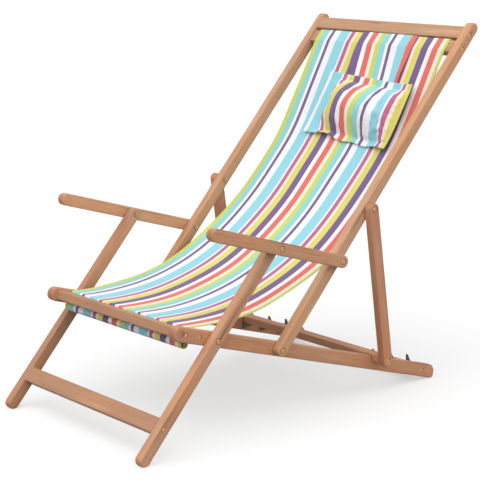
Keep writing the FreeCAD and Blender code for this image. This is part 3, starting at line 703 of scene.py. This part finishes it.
class CHAIR_OT_pillow(bpy.types.Operator):
    """Stuff the head pillow inside its seam, on the sling below the head bar"""

    bl_idname = "chair.pillow"
    bl_label = "Head pillow"

    columns = 84
    rows = 50
    frames = 20
    most_swell = 0.017
    quick_crown = 1.6
    seam_hold = 0.002
    filling = {"quality": 8, "mass": 0.2, "tension_stiffness": 12, "compression_stiffness": 12,
               "bending_stiffness": 0.35, "use_pressure": True, "uniform_pressure_force": 4.0,
               "shrink_min": -0.05, "vertex_group_mass": "held"}

    # How far the loose flanges stand off the sling: the waves of the ear, the lower flange and the upper one.
    ear_wave = 0.0036
    low_stand = 0.0016
    low_wave = 0.0010
    top_wave = 0.0012

    # The fold in the lower flange: its place and width as shares of the pillow, its height, and how far its
    # edge and the rest of the lower edge are drawn up.
    fold_place = -0.26
    fold_width = 0.11
    fold_height = 0.0095
    fold_draw = 0.0085
    low_draw = 0.0016

    def execute(self, context):
        cloth = context.scene.chair_cloth
        hung = HungCloth(cloth)

        def pattern(across, along):
            return (across - 0.5) * cloth.pillow_width - cloth.pillow_pattern, along * cloth.pillow_length

        def cut(across, along):
            return (across - 0.5) * cloth.pillow_width, (along - 1.0) * cloth.pillow_length, 0.0

        piece = laid_cloth("striped_pillow", self.columns, self.rows, cloth.fabric * 2, cut, pattern)
        held = []
        crown = cloth.pillow_crown * 1.0
        for point in piece.data.vertices:
            flat = point.co.copy()
            front = flat.z > 0
            across, along, inside = self.seam_place(flat, cloth)
            lift = self.back_lift(flat, cloth)
            if front:
                lift += 2 * cloth.fabric + crown * math.sqrt((1 - across ** 4) * (1 - along ** 3))
            if inside < 0:
                wave, drawn = self.flutter(flat, cloth)
                lift += wave
                flat.y += drawn
            held.append(not front or inside < self.seam_hold)
            point.co = self.hung_place(hung, flat, lift, cloth)
        piece.data.update()
        self.swell(context, piece, held)
        apply_modifier(piece, "SUBSURF", "soft", levels=1, render_levels=1)
        smooth(piece, 70)
        far = cloth.pillow_ear - cloth.pillow_width / 2 - cloth.pillow_pattern
        near = cloth.pillow_width / 2 - cloth.pillow_welt - cloth.pillow_pattern
        ends = cloth.pillow_flange, cloth.pillow_length - cloth.pillow_flange
        wear(canvas_material("pillow_canvas", cloth, [(side, *ends) for side in (far, near)],
                             [(end, far, near) for end in ends]), piece)
        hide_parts("head_pillow")
        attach(piece, "back")
        return {"FINISHED"}

    @staticmethod
    def hung_place(hung, flat, lift, cloth):
        """A point of the flat cut on the hanging sling, with the pillow turned about its middle."""
        turned = complex(flat.x, flat.y + cloth.pillow_length / 2) * cmath.rect(1, cloth.pillow_turn)
        high = hung.run - cloth.pillow_drop - cloth.pillow_length / 2
        place = hung.at(high + turned.imag, lift)
        return cloth.pillow_shift + turned.real, place.real, place.imag

    @staticmethod
    def back_lift(flat, cloth):
        """How far the pillow's back lies off the middle of the sling, which is most at the near edge."""
        near = smooth_step((flat.x / cloth.pillow_width - 0.25) / 0.25)
        return 1.5 * cloth.fabric + 3 * cloth.clearance + cloth.pillow_stand * near

    @staticmethod
    def seam_place(flat, cloth):
        """A point's shares from the middle of the filling to the seam, and how far inside the seam it is."""
        half = cloth.pillow_width / 2
        sides = (flat.x + half - cloth.pillow_ear, half - flat.x - cloth.pillow_welt)
        ends = (flat.y + cloth.pillow_length - cloth.pillow_flange, -flat.y - cloth.pillow_flange)
        across = min(1.0, abs(sides[0] - sides[1]) / (sides[0] + sides[1]))
        along = min(1.0, abs(ends[0] - ends[1]) / (ends[0] + ends[1]))
        return across, along, min(*sides, *ends)

    def flutter(self, flat, cloth):
        """How far the loose flanges wave off the sling, and how far the lower one is drawn up by its fold."""
        half = cloth.pillow_width / 2
        ear = smooth_step((cloth.pillow_ear - half - flat.x) / cloth.pillow_ear)
        folds = ear * self.ear_wave * (1 + math.sin(flat.x * 330.0 + flat.y * 8.0))
        low = smooth_step((cloth.pillow_flange - cloth.pillow_length - flat.y) / cloth.pillow_flange)
        fold = math.exp(-((flat.x / cloth.pillow_width - self.fold_place) / self.fold_width) ** 2)
        skirt = low * (self.low_stand + self.fold_height * fold
                       + self.low_wave * math.sin(flat.x * 62.0 + 0.9))
        top = smooth_step((flat.y + cloth.pillow_flange) / cloth.pillow_flange)
        drawn = low * (self.fold_draw * fold + self.low_draw * math.sin(flat.x * 74.0 - 0.6))
        return folds + skirt + top * self.top_wave * (1 + math.sin(flat.x * 88.0)), drawn

    def swell(self, context, piece, pinned):
        """Fill the pillow by cloth simulation, with the seam and the back held."""
        scene = context.scene
        before = [point.co.copy() for point in piece.data.vertices]
        group = piece.vertex_groups.new(name="held")
        group.add([number for number, held in enumerate(pinned) if held], 1.0, "REPLACE")
        make_active(piece)
        cloth = piece.modifiers.new("filling", "CLOTH")
        set_all(cloth.settings, self.filling)
        cloth.settings.effector_weights.gravity = 0.0
        for number in range(1, self.frames + 1):
            scene.frame_set(number)
        bpy.ops.object.modifier_apply(modifier="filling")
        scene.frame_set(1)
        for point, start in zip(piece.data.vertices, before):
            moved = point.co - start
            if moved.length > self.most_swell:
                point.co = start + moved.normalized() * self.most_swell
        piece.vertex_groups.clear()


class CHAIR_OT_panel(bpy.types.Operator):
    """Hang the pillow's panel over the head bar and into its slot"""

    bl_idname = "chair.panel"
    bl_label = "Pillow panel"

    columns = 66
    rows = 20

    # How deep the panel goes into the slot, and where its seam lies in its near hem.
    slot_share = 0.8
    seam_share = 0.2

    def execute(self, context):
        cloth = context.scene.chair_cloth
        hung = HungCloth(cloth)
        lift = cloth.fabric + 2 * cloth.clearance
        over = hung.over_head_bar(lift)
        over.append(over[-1] - hung.front * cloth.bar_thickness * self.slot_share)
        low = hung.run - cloth.pillow_drop - cloth.pillow_flange / 2
        runs = [low + (hung.run - low) * number / self.rows for number in range(self.rows)]
        runs += [hung.run + run for run in run_lengths(over)]
        last = len(runs) - 1
        half = cloth.panel_width / 2

        def place(across, along):
            number = round(along * last)
            x = cloth.panel_shift + (2 * across - 1) * half
            if number >= self.rows:
                point = over[number - self.rows]
                return x, point.real, point.imag
            # The near edge curls up most low down and the far edge half-way, and the foot is drawn aside.
            share = number / self.rows
            near = math.sin(math.pi * (0.12 + 0.88 * share)) * (1 - share) * 2 * smooth_step(across * 8 - 7)
            far = math.sin(math.pi * share) * 1.5 * smooth_step(1 - across * 6)
            slack = (0.75 + 0.25 * math.sin(math.pi * across)) * (1 - 0.85 * smooth_step(4 * across - 3))
            x += (1 - share) * cloth.panel_draw * slack
            askew = (1 - share) * (x - cloth.pillow_shift) * math.tan(cloth.pillow_turn)
            point = hung.at(runs[number] + askew, lift + cloth.panel_lift * (near + far))
            return x, point.real, point.imag

        def pattern(across, along):
            x = cloth.panel_shift + (2 * across - 1) * half
            hem = x - (cloth.panel_shift + half - cloth.panel_hem)
            return (RED_START + hem if hem > 0 else x), runs[round(along * last)]

        piece = laid_cloth("pillow_panel", self.columns, last, cloth.fabric, place, pattern)
        smooth(piece, 50)
        hem_seam = RED_START + cloth.panel_hem * self.seam_share, 0.0, runs[-1]
        wear(canvas_material("panel_canvas", cloth, [hem_seam]), piece)
        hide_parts("pillow_strap")
        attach(piece, "back")
        return {"FINISHED"}


def side_vector(step):
    """A direction of the side view as a vector of the scene."""
    return 0.0, step.real, step.imag


def combine(piece, other, operation="DIFFERENCE"):
    """Cut another shape out of a piece, or weld it to the piece, and delete it."""
    apply_modifier(piece, "BOOLEAN", "combine", object=other, operation=operation, solver="EXACT")
    bpy.data.objects.remove(other)


def select_points(piece, test):
    """In edit mode, select only the points or edges of a piece whose places all pass a test."""
    bpy.ops.mesh.select_all(action="DESELECT")
    bpy.ops.object.mode_set(mode="OBJECT")
    passed = [test(point.co) for point in piece.data.vertices]
    for point, good in zip(piece.data.vertices, passed):
        point.select = good
    for edge in piece.data.edges:
        edge.select = all(passed[number] for number in edge.vertices)
    bpy.ops.object.mode_set(mode="EDIT")


def rounded_board(name, tips, width, faces, corners, edge):
    """A board between two tips of the side view and two faces, with rounded corners and edges.

    corners are radii in the order start low, start high, end high, end low.
    """
    start, end = tips
    length = abs(end - start)
    thickness = faces[1] - faces[0]
    board = primitive("plane", name, size=1.0)
    edit_all(board)
    bpy.ops.mesh.select_mode(type="VERT")
    bpy.ops.transform.resize(value=(length, width, 1.0), center_override=(0.0, 0.0, 0.0))
    bpy.ops.transform.translate(value=(length / 2, 0.0, 0.0))
    places = ((0.0, -1), (0.0, 1), (length, 1), (length, -1))
    for (x, side), radius in zip(places, corners):
        corner = Vector((x, side * width / 2, 0.0))
        select_points(board, lambda place: (place - corner).length < SAME_PLACE)
        bpy.ops.mesh.bevel(offset=radius * ROUND_SHARE, segments=12, affect="VERTICES", clamp_overlap=False)
    bpy.ops.mesh.select_all(action="SELECT")
    bpy.ops.mesh.extrude_region_move(TRANSFORM_OT_translate={"value": (0.0, 0.0, thickness)})
    bpy.ops.mesh.select_all(action="SELECT")
    bpy.ops.mesh.normals_make_consistent(inside=False)
    bpy.ops.mesh.select_mode(type="EDGE")
    for level in (0.0, thickness):
        select_points(board, lambda place: abs(place.z - level) < SAME_PLACE)
        bpy.ops.mesh.bevel(offset=edge, segments=5, affect="EDGES", clamp_overlap=False)
    bpy.ops.object.mode_set(mode="OBJECT")
    axis = unit(end - start)
    turn = Matrix((side_vector(axis), side_vector(axis * 1j), ACROSS)).transposed().to_4x4()
    board.data.transform(Matrix.Translation((faces[0], start.real, start.imag)) @ turn)
    return board


def moved_copy(model, move):
    """A copy of a piece with its own mesh, moved by a matrix."""
    copy = model.copy()
    copy.data = model.data.copy()
    bpy.context.scene.collection.objects.link(copy)
    copy.data.transform(move)
    return copy


def mirrored(piece, name):
    """A copy of a piece at the other side of the chair."""
    other = moved_copy(piece, Matrix.Scale(-1, 4, ACROSS))
    other.name = name
    other.data.name = name
    other.data.flip_normals()
    return other


def joined(name, pieces, sharp):
    """Pieces made one object, smooth where their faces meet at less than an angle in degrees."""
    whole = pieces[0]
    make_active(whole)
    for piece in pieces:
        piece.select_set(True)
    bpy.ops.object.join()
    edit_all(whole)
    bpy.ops.mesh.remove_doubles(threshold=WELD_GAP)
    bpy.ops.object.mode_set(mode="OBJECT")
    whole.name = name
    whole.data.name = name
    smooth(whole, sharp)
    return whole


def stand_on_floor(piece):
    """Cut a piece flat where it would go through the floor."""
    edit_all(piece)
    bpy.ops.mesh.bisect(plane_co=(0.0, 0.0, 0.0), plane_no=(0.0, 0.0, 1.0), use_fill=True, clear_inner=True)
    bpy.ops.object.mode_set(mode="OBJECT")


# The heads in each board's outer face: the bolt nodes, and the bars whose screws go through it.
BOARD_BOLTS = {"back_stile": ("stile_pivot_bolts",), "leg": ("leg_pivot_bolts",),
               "armrest": ("arm_pivot_bolts", "arm_leg_bolts"), "prop": ("prop_pivot_bolts",)}
BOARD_BARS = {"base_rail": ("front_crossbar", "seat_sling_bar", "rear_crossbar"),
              "back_stile": ("top_crossbar", "head_sling_bar"), "leg": ("leg_crossbar",),
              "prop": ("prop_crossbar",)}
BOARD_BODIES = {"base_rail": ("base", "base"), "back_stile": ("back", "back"), "leg": ("legs", "legs"),
                "armrest": ("arm_left", "arm_right"), "prop": ("prop", "prop")}

# Painted light and shade: how much paler and redder each piece of wood is made, for how the light falls on
# it:
# the boards left and right, and the bars.
BOARD_PAINTED_LIGHT = {"base_rail": ((1.0, 1.05), (1.0, 1.05)), "back_stile": ((1.24, 0.935), (1.065, 0.96)),
               "leg": ((1.11, 1.0), (0.90, 1.02)), "armrest": ((1.12, 0.98), (1.22, 0.96)),
               "prop": ((0.95, 1.10), (0.98, 1.06))}
BAR_PAINTED_LIGHT = {"front_crossbar": (0.90, 1.0), "seat_sling_bar": (0.92, 1.0), "rear_crossbar": (0.97, 1.05),
             "top_crossbar": (1.07, 0.935), "head_sling_bar": (1.02, 0.94), "leg_crossbar": (0.87, 1.0),
             "prop_crossbar": (1.30, 1.06)}


class CHAIR_OT_boards(bpy.types.Operator):
    """Make the boards with rounded edges and pits for their fasteners, with the grain along each of them"""

    bl_idname = "chair.boards"
    bl_label = "Boards"

    def execute(self, context):
        settings = context.scene.chair_frame
        for name, (tips, corners) in self.plans(settings).items():
            low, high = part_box(name + "_left")
            board = rounded_board("oiled_" + name + "_left", tips, corners[0] + corners[1], (low.x, high.x),
                                  corners, settings.board_edge)
            self.sink_pits(board, name, high.x, settings)
            stand_on_floor(board)
            apply_modifier(board, "WEIGHTED_NORMAL", "flat faces", keep_sharp=True)
            smooth(board, 40)
            axis = unit(tips[1] - tips[0])
            other = mirrored(board, "oiled_" + name + "_right")
            # Each board side gets its own painted light and shade through its tone.
            for piece, side, body, tone in zip((board, other), ("_left", "_right"), BOARD_BODIES[name],
                                               BOARD_PAINTED_LIGHT[name]):
                wear(wood_material(name + side + "_wood", settings, side_vector(axis), side_vector(axis * 1j),
                                   ACROSS, tone), piece)
                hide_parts(name + side)
                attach(piece, body)
        return {"FINISHED"}

    @staticmethod
    def plans(settings):
        """Each board's two tips in the side view, and its corner radii."""
        arm = joint_place("arm_left_fold")
        prop = joint_place("prop_fold")
        arm_leg = LEG_PIVOT + arm - STILE_PIVOT
        half = settings.board_width / 2
        arm_half = settings.arm_width / 2
        nose = settings.rail_width / 2
        return {
            "base_rail": ((LEG_PIVOT - RAIL_AXIS * settings.rail_front,
                           LEG_PIVOT + RAIL_AXIS * settings.rail_rear),
                          (nose, nose, settings.rail_top_round, settings.rail_foot_round)),
            "back_stile": ((STILE_PIVOT - STILE_AXIS * half, STILE_PIVOT + STILE_AXIS * settings.stile_reach),
                           (half,) * 4),
            "leg": ((LEG_PIVOT - STILE_AXIS * settings.leg_reach, arm_leg + STILE_AXIS * half), (half,) * 4),
            "armrest": ((arm_leg - RAIL_AXIS * settings.arm_reach, arm + RAIL_AXIS * arm_half),
                        (arm_half,) * 4),
            "prop": ((prop - PROP_AXIS * half, prop + PROP_AXIS * settings.prop_reach), (half,) * 4),
        }

    @staticmethod
    def sink_pits(board, name, face, settings):
        """Sink the round pits that the heads of the board's bolts and screws sit in."""
        pits = [(bar_middle(bolts), settings.head_radius) for bolts in BOARD_BOLTS.get(name, ())]
        pits += [(bar_middle(bar), settings.screw_radius) for bar in BOARD_BARS.get(name, ())]
        for middle, radius in pits:
            combine(board, primitive("cylinder", "pit", vertices=48, radius=radius + settings.pit_gap,
                                     depth=2 * settings.pit_depth, rotation=(0.0, math.pi / 2, 0.0),
                                     location=(face, middle.real, middle.imag)))


class CHAIR_OT_bars(bpy.types.Operator):
    """Finish the crossbars in the same wood, with the grain across the chair"""

    bl_idname = "chair.bars"
    bl_label = "Crossbars"

    def execute(self, context):
        # Each bar gets its own painted light and shade through its tone.
        for bar, tone in BAR_PAINTED_LIGHT.items():
            wear(wood_material(bar + "_wood", context.scene.chair_frame, ACROSS, side_vector(RAIL_AXIS),
                               side_vector(RAIL_UP), tone), frame["nodes"][bar])
        return {"FINISHED"}


class CHAIR_OT_dowels(bpy.types.Operator):
    """Finish the dowels in the hems in plain wood"""

    bl_idname = "chair.dowels"
    bl_label = "Hem dowels"

    def execute(self, context):
        settings = context.scene.chair_frame
        material = wood_material("dowel_wood", settings, ACROSS, (0.0, 1.0, 0.0), (0.0, 0.0, 1.0))
        for dowel in ("seat_hem_dowel", "head_hem_dowel"):
            wear(material, frame["nodes"][dowel])
        return {"FINISHED"}


class CHAIR_OT_hooks(bpy.types.Operator):
    """Make the hooks on the rails in dark steel, each with a seat, a tall fin behind it and a lip"""

    bl_idname = "chair.hooks"
    bl_label = "Adjusting hooks"

    # The parts of a hook: two ends, each rearward and upward of the prop bar, a width and the corner radii.
    parts = (((-0.0174, -0.0177), (0.0265, -0.0177), 0.0126, (0.006,) * 4),
             ((0.0145, -0.0200), (0.0191, 0.0080), 0.0070, (0.002, 0.002, 0.0012, 0.0056)),
             ((0.0240, -0.0170), (0.0176, 0.0045), 0.0070, (0.003,) * 4),
             ((-0.0149, -0.0200), (-0.0155, -0.0064), 0.0045, (0.002,) * 4))
    steps = 3

    def execute(self, context):
        settings = context.scene.chair_frame
        steel = metal_material("hook_steel", settings.hook_steel, dull=0.6, metallic=0.85, roughness=0.5)
        hook = self.hook(settings)
        copies = [moved_copy(hook, Matrix.Translation(side_vector(RAIL_AXIS * settings.hook_pitch * step)))
                  for step in range(self.steps)]
        bpy.data.objects.remove(hook)
        left = joined("steel_hooks_left", copies, sharp=40)
        for piece, name in ((left, "left"), (mirrored(left, "steel_hooks_right"), "right")):
            wear(steel, piece)
            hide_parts("adjusting_hooks_" + name)
            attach(piece, "base")
        return {"FINISHED"}

    def hook(self, settings):
        """The left hook that holds the prop."""
        middle = bar_middle("prop_crossbar")
        low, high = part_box("adjusting_hooks_left")
        made = []
        for *ends, width, corners in self.parts:
            tips = [middle + PROP_AXIS * (1j * rearward - upward) for rearward, upward in ends]
            made.append(rounded_board("hook", tips, width, (low.x, high.x), corners, settings.hook_edge))
        for part in made[1:]:
            combine(made[0], part, "UNION")
        return made[0]


def round_head(name, radius, rise, vertices):
    """A low head with a rounded rim, on the floor of its own space and facing up."""
    head = primitive("cylinder", name, vertices=vertices, radius=radius, depth=rise,
                     location=(0, 0, rise / 2))
    bpy.ops.object.transform_apply(location=True, rotation=True, scale=True)
    edit_all(head)
    select_points(head, lambda place: place.z > rise - SAME_PLACE)
    bpy.ops.mesh.select_mode(type="EDGE")
    bpy.ops.mesh.bevel(offset=rise * RIM_SHARE, segments=4, profile=0.5)
    bpy.ops.object.mode_set(mode="OBJECT")
    return head


def fittings(name, model, seat, places):
    """Copies of a model that faces up, turned to face away from the middle of the chair and joined.

    seat is how far the model's floor lies from the middle, and places are points of the side view.
    """
    copies = []
    for place in places:
        for side in (1, -1):
            turn = Matrix.Rotation(side * math.pi / 2, 4, "Y")
            copies.append(moved_copy(model, Matrix.Translation((side * seat, place.real, place.imag)) @ turn))
    return joined(name, copies, sharp=35)


class CHAIR_OT_bolts(bpy.types.Operator):
    """Make the pivot bolts with their low heads, and finish their nuts and washers"""

    bl_idname = "chair.bolts"
    bl_label = "Pivot bolts"

    nodes = {"leg_pivot_bolts": "base", "stile_pivot_bolts": "base", "prop_pivot_bolts": "back",
             "arm_pivot_bolts": "back", "arm_leg_bolts": "legs"}
    cad_rise = 0.0026
    others = ("leg_pivot_nuts", "stile_pivot_nuts", "prop_pivot_nuts", "arm_pivot_nuts", "arm_leg_nuts",
              "base_pivot_washers", "back_pivot_washers", "arm_leg_washers")

    # The groove in a head: its outer and inner radius and its floor, as shares of the head's radius and rise.
    groove_outer = 0.80
    groove_inner = 0.62
    groove_level = 0.55

    def execute(self, context):
        settings = context.scene.chair_frame
        brass = metal_material("fitting_brass", settings.bolt_brass, dull=0.72, metallic=1.0, roughness=0.34)
        for name, body in self.nodes.items():
            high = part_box(name)[1]
            points = [point.co.x for point in frame["nodes"][name].data.vertices if point.co.x > 0]
            seat = high.x - self.cad_rise - settings.pit_depth
            model = self.bolt(settings, seat - min(points))
            piece = fittings("round_" + name, model, seat, [bar_middle(name)])
            bpy.data.objects.remove(model)
            wear(brass, piece)
            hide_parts(name)
            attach(piece, body)
        dull = metal_material("nut_metal", settings.nut_metal, dull=0.62, metallic=1.0, roughness=0.42)
        for name in self.others:
            wear(dull, frame["nodes"][name])
        return {"FINISHED"}

    def bolt(self, settings, length):
        """A bolt that faces up: a ring round a low dome with a six-sided socket."""
        rise = settings.head_rise + settings.pit_depth
        head = round_head("bolt", settings.head_radius, rise, 40)
        ring = round_head("groove", settings.head_radius * self.groove_outer, rise, 40)
        core = round_head("dome", settings.head_radius * self.groove_inner, rise * 2, 40)
        core.data.transform(Matrix.Translation((0, 0, -rise / 2)))
        combine(ring, core)
        ring.data.transform(Matrix.Translation((0, 0, rise * self.groove_level)))
        combine(head, ring)
        combine(head, primitive("cylinder", "socket", vertices=6, radius=settings.socket_radius, depth=rise,
                                location=(0, 0, rise)))
        shank = primitive("cylinder", "shank", vertices=24, radius=settings.shank_radius, depth=length,
                          location=(0, 0, -length / 2))
        return joined("bolt", [head, shank], sharp=35)


class CHAIR_OT_screws(bpy.types.Operator):
    """Make the wood screws that hold the crossbars between the boards"""

    bl_idname = "chair.screws"
    bl_label = "Wood screws"

    def execute(self, context):
        settings = context.scene.chair_frame
        metal = metal_material("screw_brass", settings.screw_brass, dull=0.84, metallic=1.0, roughness=0.36)
        model = round_head("screw", settings.screw_radius, settings.screw_rise, 32)
        for turn in (0.0, math.pi / 2):
            combine(model, primitive("cube", "cross", size=1.0, location=(0, 0, settings.screw_rise),
                                     rotation=(0, 0, turn), scale=(settings.screw_radius * 1.1,
                                                                   settings.screw_slit, settings.screw_rise)))
        for board, bars in BOARD_BARS.items():
            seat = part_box(board + "_left")[1].x - settings.pit_depth
            piece = fittings(board + "_screws", model, seat, [bar_middle(bar) for bar in bars])
            wear(metal, piece)
            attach(piece, BOARD_BODIES[board][0])
        bpy.data.objects.remove(model)
        return {"FINISHED"}


def seen_rays(tree):
    """1 for the rays that show the background to the camera, straight, mirrored or through glass, else 0."""
    path = node(tree, "ShaderNodeLightPath")
    seen = maths(tree, "MAXIMUM", path.outputs["Is Camera Ray"], path.outputs["Is Glossy Ray"])
    return maths(tree, "MAXIMUM", seen, path.outputs["Is Transmission Ray"])


class CHAIR_OT_stage(bpy.types.Operator):
    """Set the floor, the light and the camera"""

    bl_idname = "chair.stage"
    bl_label = "Stage"

    def execute(self, context):
        stage = context.scene.chair_stage
        self.floor(stage)
        self.light(context.scene, stage)
        self.camera(context.scene, stage)
        context.scene.view_settings.view_transform = "Standard"
        return {"FINISHED"}

    @staticmethod
    def floor(stage):
        """A pale floor that is white where nothing shades it, and keeps a part of the shadow."""
        floor = primitive("plane", "floor", size=stage.floor_size)
        material, tree, shader = new_material("pale_floor")
        seen = seen_rays(tree)
        colour = mixed(tree, seen, tuple(stage.floor_bounce), tuple(stage.floor_colour))
        feed(tree, shader, {"Base Color": colour, "Roughness": 0.95, "Specular IOR Level": 0.0})
        white = node(tree, "ShaderNodeEmission")
        share = maths(tree, "MULTIPLY", seen, stage.floor_white)
        both = node(tree, "ShaderNodeMixShader", {0: share, 1: shader.outputs[0], 2: white.outputs[0]})
        feed(tree, tree.nodes["Material Output"], {"Surface": both.outputs[0]})
        wear(material, floor)

    @staticmethod
    def light(scene, stage):
        """Even light from all round, white to the camera, and soft light from above and the near side."""
        world = bpy.data.worlds.new("studio")
        scene.world = world
        world.use_nodes = True
        tree = world.node_tree
        strength = maths(tree, "MULTIPLY_ADD", seen_rays(tree), 1.0 - stage.sky_strength, stage.sky_strength)
        feed(tree, tree.nodes["Background"], {"Color": (1.0,) * 4, "Strength": strength})
        for name, strength, turn in (("key", stage.key_strength, stage.key_turn),
                                     ("fill", stage.fill_strength, stage.fill_turn)):
            light = bpy.data.lights.new(name, "SUN")
            light.energy = strength
            light.angle = stage.key_softness
            lamp = bpy.data.objects.new(name, light)
            lamp.rotation_euler = turn
            scene.collection.objects.link(lamp)

    @staticmethod
    def camera(scene, stage):
        """The camera at the photograph's angle."""
        data = bpy.data.cameras.new("camera")
        data.lens = stage.lens
        data.sensor_width = 36.0
        camera = bpy.data.objects.new("camera", data)
        camera.location = stage.camera_place
        camera.rotation_euler = stage.camera_turn
        scene.collection.objects.link(camera)
        scene.camera = camera


PIECES = (CHAIR_OT_sling, CHAIR_OT_pillow, CHAIR_OT_panel, CHAIR_OT_boards, CHAIR_OT_bars, CHAIR_OT_dowels,
          CHAIR_OT_hooks, CHAIR_OT_bolts, CHAIR_OT_screws, CHAIR_OT_stage)
SETTINGS = {"chair_cloth": ChairClothSettings, "chair_frame": ChairFrameSettings,
            "chair_stage": ChairStageSettings}


class CHAIR_PT_sidebar(bpy.types.Panel):
    """The chair's pieces and settings"""

    bl_idname = "CHAIR_PT_sidebar"
    bl_label = "Beach chair"
    bl_space_type = "VIEW_3D"
    bl_region_type = "UI"
    bl_category = "Beach chair"

    def draw(self, context):
        for piece in PIECES:
            self.layout.operator(piece.bl_idname)
        for name, group in SETTINGS.items():
            box = self.layout.box()
            for key in group.__annotations__:
                box.prop(getattr(context.scene, name), key)


def register():
    """Register the settings, the operators and the panel."""
    for name, group in SETTINGS.items():
        bpy.utils.register_class(group)
        setattr(bpy.types.Scene, name, bpy.props.PointerProperty(type=group))
    for made in (*PIECES, CHAIR_PT_sidebar):
        bpy.utils.register_class(made)


def unregister():
    """Take the panel, the operators and the settings out again."""
    for made in (CHAIR_PT_sidebar, *reversed(PIECES)):
        bpy.utils.unregister_class(made)
    for name, group in SETTINGS.items():
        delattr(bpy.types.Scene, name)
        bpy.utils.unregister_class(group)


def main():
    """Make every piece in order."""
    register()
    for piece in PIECES:
        group, name = piece.bl_idname.split(".")
        getattr(getattr(bpy.ops, group), name)()


if __name__ == "__main__":
    main()
